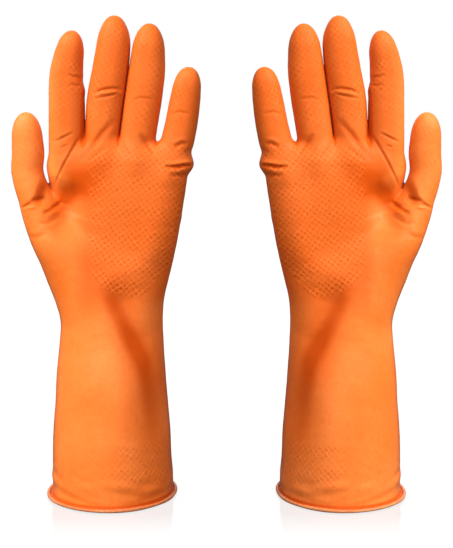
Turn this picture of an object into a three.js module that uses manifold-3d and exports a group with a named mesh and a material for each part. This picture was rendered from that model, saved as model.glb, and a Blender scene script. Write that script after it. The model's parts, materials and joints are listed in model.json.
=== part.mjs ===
// A pair of household rubber gloves standing on their cuffs, fingers up and palms towards -Y.
// Millimetres, +Z up. The origin is on the floor, midway between the two cuffs.
// Each glove is one seamless skin of dipped latex with a rolled bead at its mouth. The skin is divided
// where it flexes (wrist, knuckles and finger joints), and each division is an open shell of its own.
import * as THREE from 'three';
import { mergeVertices } from 'three/addons/utils/BufferGeometryUtils.js';
import Module from 'manifold-3d';

const wasm = await Module();
wasm.setup();

// Driving dimensions
const CUFF_SPACING = 147;       // between the centres of the two cuffs
const WALL = 0.6;               // latex and the flock lining that is bonded to it
const CLEARANCE = 0.2;          // taken off each side of a cut, so neighbours stay 0.4 apart
const BEAD_RADIUS = 40.7;       // centre of the rolled bead
const BEAD_HALF_WIDTH = 0.9;    // half of the bead's width and of its height
const CUFF_BOTTOM = 2.1;        // the skin ends just above the bead
const WRIST_HEIGHT = 113;
const WRIST_BEND = 40;          // degrees, forwards and backwards
const HINGE_DEPTH = 5;          // a finger's hinge line lies this far under its palm-side skin
const FINGER_LEAN = 7.5;        // degrees, the fingers' common bending planes lean this far outwards
const THUMB_LEAN = 12;          // degrees, the thumb leans this far the other way
const THUMB_INWARD = 0.35;      // sideways share of the thumb's swing across the palm
const TUBE_SIDES = 24;
const STALL_SIDES = 12;
const TUBE_ROWS = 12;
const BIG = 400;                // longer than anything that is cut

const SKIN = { color: 0xf27428, roughness: 0.55, metalness: 0 };
const SKIN_CUFF = { color: 0xe96a26, roughness: 0.55, metalness: 0 };
const BEAD_SKIN = { color: 0xea7236, roughness: 0.5, metalness: 0 };

// Cross-sections: centre x and y, height z, half-width a, half-depth b, and n, the superellipse power
// (2 is an ellipse, more is squarer).
const section = (x, y, z, a, b, n = 2) => ({ x, y, z, a, b, n });

const HAND_TUBE = [
  section(0.3, 0, CUFF_BOTTOM, 40.6, 40.4),
  section(0.7, 0, 7, 39.1, 38.7),
  section(-0.3, 0, 39, 37.1, 36.6),
  section(-1, 0, 78, 34.2, 32.6),
  section(-1, 0, 108, 32.1, 28),
  section(-1.4, -0.5, 124, 33.4, 24.6, 2.1),
  section(-2, -1, 142, 36.8, 21, 2.3),
  section(-0.8, -1.5, 162, 40.4, 18.2, 2.5),
  section(0.6, -2, 182, 42.4, 16, 2.6),
  section(1.6, -2, 200, 43.4, 14.4, 2.6),
  section(4, -2, 214, 44.8, 12.4, 2.5),
  section(3, -2, 222, 42, 8.5, 2.4),
  section(1, -2, 226, 36, 4, 2.2),
];

const THUMB = {
  sections: [
    section(-16, -2, 112, 14, 15),
    section(-24, -4, 140, 18, 16),
    section(-36.5, -5.5, 160, 16, 15),
    section(-44.5, -6, 178, 15.4, 13),
    section(-50, -5.5, 192, 12.2, 11),
    section(-53.6, -5, 205, 10.3, 10),
    section(-54.8, -5, 220, 9.8, 9.6),
  ],
  dome: section(-55.2, -5.5, 231, 8.9, 9),
  tip: { x: -55.5, y: -7, z: 244.5 },
  hinges: [209.5, 226],
};

// A stall's sections run from inside the palm to where its rounded end, the dome, begins.
const FINGERS = {
  index: {
    sections: [
      section(-29.6, -2, 205, 11, 11.5),
      section(-30.2, -2, 229, 10.7, 10.6),
      section(-30, -3, 252, 10.6, 10),
    ],
    dome: section(-29.6, -4.5, 280, 9.4, 9.2),
    tip: { x: -27.4, y: -7, z: 296.7 },
    hinges: [237, 253.5, 272.5],
  },
  middle: {
    sections: [
      section(-7.6, -2, 205, 11, 11.5),
      section(-6.5, -2, 229, 10.3, 10.8),
      section(-4.9, -3, 252, 10.7, 10.3),
    ],
    dome: section(-0.3, -4.5, 288, 9.9, 9.6),
    tip: { x: 0.8, y: -7, z: 306 },
    hinges: [237, 255, 277],
  },
  ring: {
    sections: [
      section(12.6, -2, 205, 11, 11.5),
      section(15.6, -2, 229, 10.8, 10.7),
      section(19, -3, 252, 11, 10.2),
    ],
    dome: section(22.4, -4.5, 283.5, 9.7, 9.5),
    tip: { x: 23.4, y: -7, z: 301 },
    hinges: [236, 253.5, 274],
  },
  little: {
    sections: [
      section(34.5, -2, 196, 11.2, 11.5),
      section(39.8, -2, 221, 10.7, 10.2),
      section(43.4, -3, 236, 9.8, 9.4),
    ],
    dome: section(47.3, -4, 258.5, 8.6, 8.5),
    tip: { x: 48.6, y: -5.5, z: 273.3 },
    hinges: [229, 244.5, 259],
  },
};

// Each finger joint: how far it bends towards the palm and back, in degrees.
const FINGER_BENDS = [
  { inward: 60, back: 15 },
  { inward: 80, back: 0 },
  { inward: 48, back: 0 },
];
const THUMB_BENDS = [
  { inward: 45, back: 15 },
  { inward: 50, back: 10 },
];
const FINGER_PARTS = ['base', 'middle', 'tip'];
const THUMB_PARTS = ['base', 'tip'];

const radians = THREE.MathUtils.degToRad;

// ---------- Solids ----------

// A closed three.js geometry as a solid that can be joined and cut.
function solidOf(geometry) {
  const bare = geometry.index ? geometry.toNonIndexed() : geometry;
  bare.deleteAttribute('normal');
  bare.deleteAttribute('uv');
  const merged = mergeVertices(bare, 1e-4);
  return new wasm.Manifold(new wasm.Mesh({
    numProp: 3,
    vertProperties: merged.attributes.position.array,
    triVerts: new Uint32Array(merged.index.array),
  }));
}

// A solid as a flat-shaded three.js geometry.
function geometryOf(solid) {
  const mesh = solid.getMesh();
  return new THREE.BufferGeometry()
    .setAttribute('position', new THREE.BufferAttribute(mesh.vertProperties, 3))
    .setIndex(new THREE.BufferAttribute(mesh.triVerts, 1));
}

// A smooth skin drawn through the sections: a cylinder whose rows are moved onto them.
function loft(sections, sides, rows) {
  const centres = new THREE.CatmullRomCurve3(sections.map((s) => new THREE.Vector3(s.x, s.y, s.z)));
  const sizes = new THREE.CatmullRomCurve3(sections.map((s) => new THREE.Vector3(s.a, s.b, s.n)));
  centres.curveType = 'catmullrom';
  sizes.curveType = 'catmullrom';
  const geometry = new THREE.CylinderGeometry(1, 1, 1, sides, rows);
  const position = geometry.attributes.position;
  for (let i = 0; i < position.count; i += 1) {
    const t = THREE.MathUtils.clamp(position.getY(i) + 0.5, 0, 1);
    const centre = centres.getPoint(t);
    const size = sizes.getPoint(t);
    const across = position.getX(i);
    const front = -position.getZ(i);
    const power = 2 / size.z;
    position.setXYZ(
      i,
      centre.x + size.x * Math.sign(across) * Math.abs(across) ** power,
      centre.y + size.y * Math.sign(front) * Math.abs(front) ** power,
      centre.z,
    );
  }
  return solidOf(geometry);
}

const inset = (s, by) => ({ ...s, a: s.a - by, b: s.b - by });

// The sections of a stall, closed by a rounded end that shrinks from the dome's foot to the tip.
function stallSections({ sections, dome, tip }, by) {
  const turns = [25, 45, 62, 78].map(radians);
  const height = tip.z - by - dome.z;
  const end = turns.map((turn) => section(
    THREE.MathUtils.lerp(dome.x, tip.x, 1 - Math.cos(turn)),
    THREE.MathUtils.lerp(dome.y, tip.y, 1 - Math.cos(turn)),
    dome.z + height * Math.sin(turn) / Math.sin(turns.at(-1)),
    (dome.a - by) * Math.cos(turn),
    (dome.b - by) * Math.cos(turn),
  ));
  return [...sections.map((s) => inset(s, by)), inset(dome, by), ...end];
}

function stallSolid(stall, by) {
  const sections = stallSections(stall, by);
  return loft(sections, STALL_SIDES, sections.length - 1);
}

// Everything on the side of a plane that its normal points away from.
function behindPlane(point, normal) {
  const box = new THREE.BoxGeometry(BIG, BIG, BIG).translate(0, 0, -BIG / 2);
  const turn = new THREE.Quaternion().setFromUnitVectors(new THREE.Vector3(0, 0, 1), normal);
  return solidOf(box.applyQuaternion(turn).translate(point.x, point.y, point.z));
}

// ---------- Hinges ----------

// A hinge is a point on its line, the direction up the finger, the direction palmward that it bends to
// (both square to the line) and how far it bends.

// Cuts a solid to the part on one side of a hinge. side is -1 for the part below and 1 for the part
// above. Each part slopes away from the hinge line by half the bend, so the two meet when fully bent.
function trim(solid, { point, up, palmward, bend }, side) {
  const slopes = [bend.inward, -bend.back].map((angle) => radians(angle) / 2);
  return slopes.reduce((left, slope) => {
    const normal = up.clone().multiplyScalar(-side * Math.cos(slope));
    normal.addScaledVector(palmward, Math.sin(slope)).normalize();
    return left.intersect(behindPlane(point.clone().addScaledVector(normal, -CLEARANCE), normal));
  }, solid);
}

// The stall's centre and half-depth at a height, by straight lines between its sections.
function stallAt(stall, z) {
  const rows = [...stall.sections, stall.dome, { ...stall.dome, ...stall.tip }];
  const i = rows.findIndex((row) => row.z > z);
  const share = (z - rows[i - 1].z) / (rows[i].z - rows[i - 1].z);
  const mix = (key) => THREE.MathUtils.lerp(rows[i - 1][key], rows[i][key], share);
  return { x: mix('x'), y: mix('y'), b: mix('b') };
}

function stallHinges(stall, lean, inwardShare, bends) {
  const up = new THREE.Vector3(Math.sin(radians(lean)), 0, Math.cos(radians(lean)));
  const palmward = new THREE.Vector3(inwardShare, -Math.sqrt(1 - inwardShare ** 2), 0);
  palmward.addScaledVector(up, -palmward.dot(up)).normalize();
  return stall.hinges.map((z, i) => {
    const at = stallAt(stall, z);
    const point = new THREE.Vector3(at.x, at.y, z).addScaledVector(palmward, at.b - HINGE_DEPTH);
    return { point, up, palmward, bend: bends[i] };
  });
}

const wrist = {
  point: new THREE.Vector3(0, 0, WRIST_HEIGHT),
  up: new THREE.Vector3(0, 0, 1),
  palmward: new THREE.Vector3(0, -1, 0),
  bend: { inward: WRIST_BEND, back: WRIST_BEND },
};

// The hinge line in the pair's frame: a turn about its axis by a positive angle bends palmwards.
function hingeLine({ point, up, palmward }, side) {
  const axis = up.clone().cross(palmward);
  return {
    point: [side * CUFF_SPACING / 2 - side * point.x, point.y, point.z],
    axis: [axis.x, -side * axis.y, -side * axis.z],
  };
}

// ---------- One left glove ----------

const stalls = Object.entries(FINGERS).map(([name, stall]) => ({
  name,
  stall,
  parts: FINGER_PARTS,
  hinges: stallHinges(stall, FINGER_LEAN, 0, FINGER_BENDS),
}));
stalls.push({
  name: 'thumb',
  stall: THUMB,
  parts: THUMB_PARTS,
  hinges: stallHinges(THUMB, -THUMB_LEAN, THUMB_INWARD, THUMB_BENDS),
});

function tubeSolid(by) {
  return loft(HAND_TUBE.map((s) => inset(s, by)), TUBE_SIDES, TUBE_ROWS);
}

// The inner space runs out through the mouth, so that the cuff stays open.
function mouthSolid() {
  const [mouth] = HAND_TUBE;
  const lower = inset({ ...mouth, z: mouth.z - 3 }, WALL);
  const upper = inset({ ...mouth, z: mouth.z + 0.5 }, WALL + 0.2);
  return loft([lower, upper], TUBE_SIDES, 1);
}

function cuff() {
  const shell = tubeSolid(0).subtract(tubeSolid(WALL)).subtract(mouthSolid());
  return trim(shell, wrist, -1);
}

// The palm and back of the hand, with the foot of each stall up to its first hinge.
function palm() {
  let outer = tubeSolid(0);
  let inner = tubeSolid(WALL);
  for (const { stall, hinges } of stalls) {
    outer = outer.add(trim(stallSolid(stall, 0), hinges[0], -1));
    inner = inner.add(stallSolid(stall, WALL));
  }
  return trim(outer.subtract(inner), wrist, 1);
}

// One division of a stall: between two hinges, or from the last hinge to the tip.
function stallPart({ stall, hinges }, i) {
  let shell = stallSolid(stall, 0).subtract(stallSolid(stall, WALL));
  shell = trim(shell, hinges[i], 1);
  return i + 1 < hinges.length ? trim(shell, hinges[i + 1], -1) : shell;
}

// The rolled bead, with flats above and below, so that it stands on a real face.
function beadGeometry() {
  const r = BEAD_HALF_WIDTH;
  const flat = 0.6 * r;
  const outline = [
    [flat, -r], [r, -flat], [r, flat], [flat, r], [-flat, r], [-r, flat], [-r, -flat], [-flat, -r],
  ].map(([across, up]) => new THREE.Vector2(BEAD_RADIUS + across, r + up));
  outline.push(outline[0].clone());
  return new THREE.LatheGeometry(outline, TUBE_SIDES).rotateX(Math.PI / 2);
}

const pieces = [
  { name: 'cuff', geometry: geometryOf(cuff()), look: SKIN_CUFF },
  { name: 'cuff_bead', geometry: beadGeometry(), look: BEAD_SKIN, x: HAND_TUBE[0].x },
  { name: 'palm', geometry: geometryOf(palm()), look: SKIN, hinge: wrist },
];
for (const entry of stalls) {
  entry.parts.forEach((part, i) => {
    pieces.push({
      name: `${entry.name}_${part}`,
      geometry: geometryOf(stallPart(entry, i)),
      look: SKIN,
      hinge: entry.hinges[i],
    });
  });
}

// ---------- The pair ----------

// side is -1 for the left glove and 1 for the right one, which is its mirror image.
function glove(side) {
  const group = new THREE.Group();
  for (const { name, geometry, look, hinge, x = 0 } of pieces) {
    const material = new THREE.MeshStandardMaterial({ ...look, flatShading: true });
    const mesh = new THREE.Mesh(geometry, material);
    mesh.name = `${side < 0 ? 'left' : 'right'}_${name}`;
    mesh.position.x = x;
    if (hinge) mesh.userData.hinge = hingeLine(hinge, side);
    group.add(mesh);
  }
  group.position.x = side * CUFF_SPACING / 2;
  group.scale.x = -side;
  return group;
}

const gloves = new THREE.Group();
gloves.add(glove(-1), glove(1));

export default gloves;
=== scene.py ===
"""A pair of orange household rubber gloves, standing on their cuffs with the palms to the camera.

Each glove's skin is one smooth surface: the zero level of a field that joins a tube (cuff and hand) with
five stalls. It is meshed once, gets its mounds, folds, wrinkles and grip lattice as real relief, and is
then shared out into pieces that hold the bending zones at the CAD frame's joints. Lengths are millimetres in
the left glove's own frame (x towards the little finger, y towards the back of the hand, z up) until a mesh
is placed in the row frame, in metres. The right glove is the left one's mirror image.
"""
import json
import math

import bpy
import numpy as np
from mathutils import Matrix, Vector


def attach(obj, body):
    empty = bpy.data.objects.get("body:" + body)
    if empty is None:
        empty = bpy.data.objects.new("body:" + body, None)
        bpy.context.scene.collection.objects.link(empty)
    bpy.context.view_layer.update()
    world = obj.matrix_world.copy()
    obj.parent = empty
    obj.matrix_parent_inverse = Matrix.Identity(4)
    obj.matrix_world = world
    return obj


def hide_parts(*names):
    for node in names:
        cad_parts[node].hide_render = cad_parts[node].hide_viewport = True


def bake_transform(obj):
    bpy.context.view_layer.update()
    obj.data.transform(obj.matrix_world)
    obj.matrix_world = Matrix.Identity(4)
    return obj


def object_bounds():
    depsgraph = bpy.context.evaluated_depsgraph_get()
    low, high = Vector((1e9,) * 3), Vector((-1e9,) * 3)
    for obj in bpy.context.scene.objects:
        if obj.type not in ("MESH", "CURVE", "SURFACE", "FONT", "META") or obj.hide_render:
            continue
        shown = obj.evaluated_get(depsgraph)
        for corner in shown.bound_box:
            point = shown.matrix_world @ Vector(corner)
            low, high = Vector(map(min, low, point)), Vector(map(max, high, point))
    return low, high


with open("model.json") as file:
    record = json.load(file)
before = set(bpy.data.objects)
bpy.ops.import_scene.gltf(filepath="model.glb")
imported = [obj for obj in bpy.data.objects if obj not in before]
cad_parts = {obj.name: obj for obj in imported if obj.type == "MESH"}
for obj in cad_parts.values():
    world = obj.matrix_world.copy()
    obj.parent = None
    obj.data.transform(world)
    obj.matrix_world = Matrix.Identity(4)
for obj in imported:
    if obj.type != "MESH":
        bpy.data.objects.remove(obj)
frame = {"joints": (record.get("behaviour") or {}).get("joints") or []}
CAD_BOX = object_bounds()
JOINTS = {joint["name"]: joint for joint in frame["joints"]}

MM = 0.001
MESH_STEP = 1.0  # side of a cell of the skin's mesh before the grip is refined
LINING_STEP = 2.4
WALL = 0.7             # latex and flock, between the skin and the lining at the mouth
DEEP_WALL = 1.5        # further in, the lining stands off from the folds by this much more
BEAD_RADIUS = 40.7     # the rolled bead's centre line
BEAD_THICKNESS = 1.05  # radius of the roll itself
STRAIGHT_FROM = 3.0    # under this the lining runs straight down, beside the bead
MOUTH = 0.7            # the skin ends here, inside the bead
CUFF_CENTRE = np.array((JOINTS["left_wrist"]["pos_m"][0] / MM, 0.0, 0.0))
FINGERS = ("index", "middle", "ring", "little")
STALLS = FINGERS + ("thumb",)

# ---------- the glove's form

# z, centre x, centre y, half-width, half-depth, superellipse power
HAND_TUBE = np.array([
    (-8, 0.3, 0, 42.4, 42.4, 2),
    (0, 0.3, 0, 41.6, 41.4, 2),
    (0.7, 0.3, 0, 40.6, 40.4, 2),
    (1.2, 0.3, 0, 39.1, 38.9, 2),
    (1.8, 0.3, 0, 38.6, 38.4, 2),
    (3, 0.4, 0, 38.5, 38.3, 2),
    (10, 0.5, 0, 38.6, 38.4, 2),
    (22, 0.1, 0, 38.1, 37.8, 2),
    (39, -0.1, 0, 37.6, 36.5, 2),
    (59, -0.3, 0, 36, 34.7, 2),
    (78, -0.6, 0, 34.9, 32.6, 2),
    (96, -0.4, 0, 33.6, 29.8, 2),
    (109, -0.3, -0.2, 32.9, 27.6, 2.05),
    (124, -0.7, -0.6, 34, 24.6, 2.15),
    (142, -0.4, -1, 37.8, 21.2, 2.3),
    (162, 3.2, -1.5, 38.7, 18.4, 2.45),
    (182, 4.2, -2, 40.8, 16.2, 2.5),
    (192, 5, -2.1, 40.6, 15.4, 2.5),
    (199, 3.7, -2.2, 42, 14.8, 2.5),
    (210, 4, -2.3, 45, 13.6, 2.5),
])
HAND_DOME = (206, 21)  # where the hand's top begins to round off, and its height

# z, centre x, centre y, half-width, half-depth along each stall
STALL_SECTIONS = {
    "thumb": np.array([
        (96, -6, -2, 8, 8),
        (118, -15.5, -3, 14, 14.5),
        (140, -24.3, -4, 16.6, 16),
        (160, -34.4, -5.5, 16.2, 15.5),
        (178, -42.5, -6, 14.3, 13.2),
        (192, -48.8, -5.6, 12, 11.2),
        (198, -51.5, -5.3, 10.9, 10.7),
        (205, -53.7, -5, 10.2, 10.2),
        (219, -53.5, -5, 10.3, 9.9),
        (231, -54, -5.8, 9.6, 9),
        (245, -54.4, -7, 8.4, 8),
    ]),
    "index": np.array([
        (190, -28.6, -2, 10.6, 10.5),
        (209, -28.8, -2.2, 11.5, 10.9),
        (229, -29, -2.4, 11.6, 10.9),
        (252, -29, -3, 11.5, 10.5),
        (262, -29.1, -3.5, 11.2, 10.2),
        (271, -28.9, -4, 10.6, 9.9),
        (284, -26.9, -5, 9.3, 9.1),
        (297, -25.3, -6.4, 8.3, 8.1),
    ]),
    "middle": np.array([
        (190, -8.6, -2, 10, 10.5),
        (209, -7.4, -2.2, 10.8, 11),
        (229, -6.1, -2.4, 11.1, 11),
        (252, -4.2, -3, 12, 10.7),
        (271, -1.1, -4, 11.9, 10.3),
        (288, 1.1, -5.2, 10.9, 9.7),
        (306, 1.9, -7, 9, 8.5),
    ]),
    "ring": np.array([
        (190, 12.2, -2, 10.4, 10.5),
        (209, 14.2, -2.2, 11, 10.9),
        (229, 16.5, -2.4, 11.7, 10.8),
        (252, 19.8, -3, 12, 10.4),
        (271, 22.1, -4, 11.8, 10),
        (284, 23.2, -5, 10.6, 9.4),
        (301, 24, -6.6, 9, 8.4),
    ]),
    "little": np.array([
        (180, 31.8, -2, 9.8, 9.5),
        (200, 36.4, -2.2, 11, 10.3),
        (215, 39.3, -2.4, 11.4, 10.3),
        (233, 43.4, -2.8, 10.7, 9.8),
        (252, 46.7, -3.6, 9.9, 9.2),
        (262, 48.1, -4.4, 9, 8.5),
        (274, 49.1, -5.4, 8.1, 7.6),
    ]),
}
STALL_DOMES = {  # where the rounded tip begins, and its height
    "thumb": (229.5, 15),
    "index": (280.5, 16.2),
    "middle": (288, 18),
    "ring": (283.5, 17.5),
    "little": (259.5, 13.8),
}
STALL_POWER = 2.2  # superellipse power of every stall's sections
FOOT_FADE = 24     # how gently a stall's foot sinks into the hand
# Width of the fillet where each stall leaves the hand. The thumb's narrows to a sharp fork at its web.
STALL_JOIN = {"thumb": 11, "index": 5, "middle": 5, "ring": 5, "little": 6}
THUMB_WEB_JOIN, THUMB_WEB_FROM, THUMB_WEB_TO = 2.6, 187, 198

# The ring and little fingers are meshed this far to the side, so that the narrow gap beside the middle
# finger stays open, and are brought back by a little less.
SPREAD = 2.4
SPREAD_STALLS = ("ring", "little")
BROUGHT_BACK = 2.2
SPREAD_FROM, SPREAD_TO = 222.0, 231.0  # the shift grows between these heights
CORE = 0.01                            # a field is level this near a section's centre, as a share of it


def smooth(t):
    """An even rise from 0 at t = 0 to 1 at t = 1."""
    t = np.clip(t, 0.0, 1.0)
    return t * t * (3.0 - 2.0 * t)


def rise(value, start, end):
    """An even rise from 0 where the value is start to 1 where it is end, which may be the smaller one."""
    return smooth((value - start) / (end - start))


def spread_share(p):
    """How much of the spread applies at each point, from 0 in the palm to 1 in the fingers."""
    return rise(p[:, 2], SPREAD_FROM, SPREAD_TO)


def track(rows, z):
    """Smooth values at heights z, by cubic pieces through the rows (z, value, value, ...)."""
    keys, values = rows[:, 0], rows[:, 1:]
    slopes = np.gradient(values, keys, axis=0)
    z = np.clip(z, keys[0], keys[-1])
    i = np.clip(np.searchsorted(keys, z, side="right") - 1, 0, len(keys) - 2)
    width = (keys[i + 1] - keys[i])[:, None]
    t = (z[:, None] - keys[i][:, None]) / width
    return (
        (1 + 2 * t) * (1 - t) ** 2 * values[i]
        + t * (1 - t) ** 2 * width * slopes[i]
        + t * t * (3 - 2 * t) * values[i + 1]
        + t * t * (t - 1) * width * slopes[i + 1]
    ).T


def radial(dx, dy, a, b, power, past, height):
    """Distance outside a rounded section, measured from its centre; past is how far up its dome."""
    rho = (np.abs(dx / a) ** power + np.abs(dy / b) ** power + (past / height) ** power) ** (1 / power)
    reach = np.sqrt(dx * dx + dy * dy + past * past)
    return np.where(rho < CORE, -np.minimum(a, b), reach * (1 - 1 / np.maximum(rho, CORE)))


def join(f, g, width):
    """The union of two fields, with a fillet of about this width where they meet."""
    h = np.maximum(width - np.abs(f - g), 0.0) / width
    return np.minimum(f, g) - h * h * width / 4


def hand_field(p):
    """The cuff and the hand without its stalls: negative inside, zero on the skin."""
    x, y, a, b, power = track(HAND_TUBE, p[:, 2])
    foot, height = HAND_DOME
    return radial(p[:, 0] - x, p[:, 1] - y, a, b, power, np.maximum(p[:, 2] - foot, 0), height)


def stall_field(p, name):
    """One stall, from its foot in the hand to its rounded tip."""
    x, y, a, b = track(STALL_SECTIONS[name], p[:, 2])
    if name in SPREAD_STALLS:
        x = x + SPREAD * spread_share(p)
    foot, height = STALL_DOMES[name]
    below = np.maximum(STALL_SECTIONS[name][0, 0] - p[:, 2], 0)
    f = radial(p[:, 0] - x, p[:, 1] - y, a, b, STALL_POWER, np.maximum(p[:, 2] - foot, 0), height)
    return f + below * below / FOOT_FADE


def skin_field(p):
    """The whole glove."""
    hand = hand_field(p)
    fork = rise(p[:, 2], THUMB_WEB_FROM, THUMB_WEB_TO)
    widths = dict(STALL_JOIN, thumb=STALL_JOIN["thumb"] + fork * (THUMB_WEB_JOIN - STALL_JOIN["thumb"]))
    joined = [join(hand, stall_field(p, name), widths[name]) for name in STALLS]
    return np.minimum.reduce(joined)


def nearest_stall(p):
    """The index in STALLS of the stall that each point is nearest to."""
    return np.argmin([stall_field(p, name) for name in STALLS], axis=0)


# ---------- meshing

LOW, HIGH = np.array([-76.0, -50.0, -7.0]), np.array([62.0, 50.0, 312.0])  # a box round the glove
CORNERS = np.array([(i, j, k) for i in (0, 1) for j in (0, 1) for k in (0, 1)])
EDGES = [
    (a, b) for a in range(8) for b in range(a + 1, 8) if np.abs(CORNERS[a] - CORNERS[b]).sum() == 1
]
BLOCK = 8          # cells along a block, which is tested as a whole first
BLOCK_REACH = 1.6  # blocks whose centre is further from the skin are left out
FAR = 1e3          # stands in for the field's value where it isn't worked out


def lattice(counts):
    """All the whole-number points of a box with this many points along each axis."""
    return np.stack(np.meshgrid(*[np.arange(n) for n in counts], indexing="ij"), -1).reshape(-1, 3)


def sample(field, step):
    """The field on a grid from LOW to HIGH. Away from its zero level only the sign is right."""
    blocks = np.ceil((HIGH - LOW) / (step * BLOCK)).astype(int) + 1
    at = lattice(blocks)
    rough = field(LOW + (at + 0.5) * BLOCK * step)
    near = np.abs(rough) < BLOCK_REACH * BLOCK * step
    grid = np.where(rough < 0, -FAR, FAR).astype(np.float32).reshape(blocks)
    for axis in range(3):
        grid = np.repeat(grid, BLOCK, axis=axis)
    points = (at[near][:, None, :] * BLOCK + lattice([BLOCK] * 3)).reshape(-1, 3)
    grid[tuple(points.T)] = field(LOW + points * step)
    return grid


def crossed_cells(grid):
    """The cells that the zero level passes through, and the middle of its crossings in each."""
    sign = grid < 0
    size = np.array(grid.shape)
    count = np.zeros(size - 1, np.uint8)
    for i, j, k in CORNERS:
        count += sign[i:size[0] - 1 + i, j:size[1] - 1 + j, k:size[2] - 1 + k]
    cells = np.argwhere((count > 0) & (count < len(CORNERS)))
    value = np.stack([grid[tuple((cells + c).T)] for c in CORNERS], 1)
    total = np.zeros((len(cells), 3))
    crossings = np.zeros(len(cells))
    for a, b in EDGES:
        crossed = (value[:, a] < 0) != (value[:, b] < 0)
        t = np.where(crossed, value[:, a] / np.where(crossed, value[:, a] - value[:, b], 1), 0)
        where = CORNERS[a] + t[:, None] * (CORNERS[b] - CORNERS[a])
        total += where * crossed[:, None]
        crossings += crossed
    return cells, cells + total / crossings[:, None]


def surface_net(field, step):
    """Quads over the field's zero level: a vertex in each cell that the level crosses."""
    grid = sample(field, step)
    cells, middles = crossed_cells(grid)
    sign = grid < 0
    size = np.array(grid.shape)
    index = np.full(size - 1, -1, np.int64)
    index[tuple(cells.T)] = np.arange(len(cells))
    quads = []
    for axis in range(3):
        side, other = (axis + 1) % 3, (axis + 2) % 3
        first = [slice(0, n - 1) for n in size]
        second = [slice(0, n - 1) for n in size]
        second[axis] = slice(1, size[axis])
        changed = np.argwhere(sign[tuple(first)] != sign[tuple(second)])
        changed = changed[(changed[:, side] > 0) & (changed[:, other] > 0)]
        ring = []
        for back_side, back_other in ((1, 1), (0, 1), (0, 0), (1, 0)):
            cell = changed.copy()
            cell[:, side] -= back_side
            cell[:, other] -= back_other
            ring.append(index[tuple(cell.T)])
        quad = np.stack(ring, 1)
        outwards = sign[tuple(changed.T)]
        quad[~outwards] = quad[~outwards][:, ::-1]
        quads.append(quad)
    quads = np.concatenate(quads)
    return LOW + middles * step, quads[(quads >= 0).all(1)]


def gradient(field, p, reach=0.05):
    """The field's slope at each point."""
    steps = np.eye(3) * reach
    return np.stack([field(p + s) - field(p - s) for s in steps], 1) / (2 * reach)


def settle(field, p, rounds=3, longest=0.4):
    """Moves points onto the field's zero level along its slope, by short steps."""
    for _ in range(rounds):
        slope = gradient(field, p)
        move = slope * (field(p) / np.maximum((slope * slope).sum(1), 1e-9))[:, None]
        length = np.linalg.norm(move, axis=1)
        p = p - move * np.minimum(1.0, longest / np.maximum(length, 1e-9))[:, None]
    return p


def relax(vertices, quads, share=0.5):
    """Moves each vertex part of the way to its neighbours' mean, to even the mesh out."""
    total = np.zeros_like(vertices)
    for near in (1, 3):
        for k in range(4):
            for axis in range(3):
                total[:, axis] += np.bincount(
                    quads[:, k], vertices[quads[:, (k + near) % 4], axis], len(vertices)
                )
    count = 2 * np.bincount(quads.ravel(), minlength=len(vertices))
    mean = total / np.maximum(count, 1)[:, None]
    return vertices + share * (mean - vertices)


def split_quads(vertices, quads, chosen):
    """Splits the chosen quads in four. Their neighbours take the new edge points, as polygons."""
    count = len(vertices)
    ends = np.stack([quads, np.roll(quads, -1, 1)], -1)
    keys = np.sort(ends, -1)
    unique, inverse = np.unique((keys[..., 0] * count + keys[..., 1]).ravel(), return_inverse=True)
    inverse = inverse.reshape(len(quads), 4)
    cut = np.zeros(len(unique), bool)
    cut[inverse[chosen].ravel()] = True
    middle = np.full(len(unique), -1)
    middle[cut] = count + np.arange(cut.sum())
    edge_points = (vertices[unique[cut] // count] + vertices[unique[cut] % count]) / 2
    centres = vertices[quads[chosen]].mean(1)
    hub = count + len(edge_points) + np.arange(len(centres))
    mid = middle[inverse[chosen]]
    corner = quads[chosen]
    small = [np.stack([corner[:, k], mid[:, k], hub, mid[:, (k + 3) % 4]], 1) for k in range(4)]
    rest, rest_mid = quads[~chosen], middle[inverse[~chosen]]
    touched = (rest_mid >= 0).any(1)
    polygons = []
    for face, mids in zip(rest[touched].tolist(), rest_mid[touched].tolist()):
        polygons.append([v for pair in zip(face, mids) for v in pair if v >= 0])
    vertices = np.concatenate([vertices, edge_points, centres])
    return vertices, np.concatenate([rest[~touched]] + small), polygons


def fan(quads, polygons):
    """The faces as triangles."""
    triangles = [quads[:, [0, 1, 2]], quads[:, [0, 2, 3]]]
    extra = [(face[0], face[i], face[i + 1]) for face in polygons for i in range(1, len(face) - 1)]
    if extra:
        triangles.append(np.array(extra))
    return np.concatenate(triangles)


def vertex_normals(vertices, triangles):
    """Unit normals, weighted by the area of the triangles round each vertex."""
    a, b, c = (vertices[triangles[:, i]] for i in range(3))
    cross = np.cross(b - a, c - a)
    normals = np.zeros_like(vertices)
    for k in range(3):
        for axis in range(3):
            normals[:, axis] += np.bincount(triangles[:, k], cross[:, axis], len(vertices))
    return normals / np.maximum(np.linalg.norm(normals, axis=1), 1e-12)[:, None]


# ---------- relief

def palm_side(normals):
    """1 where the skin faces the palm's way, and fading to 0 round its edges."""
    return rise(normals[:, 1], 0.25, -0.35)


def back_side(normals):
    """The same for the back of the hand."""
    return rise(normals[:, 1], 0.1, 0.7)


def bump(p, x, z, wide, tall, turn=0.0):
    """A smooth mound in the front view, 1 at its centre. turn leans its tall axis outwards, in degrees."""
    c, s = math.cos(math.radians(turn)), math.sin(math.radians(turn))
    dx, dz = p[:, 0] - x, p[:, 2] - z
    across, along = dx * c - dz * s, dx * s + dz * c
    return np.exp(-((across / wide) ** 2) - (along / tall) ** 2)


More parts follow.
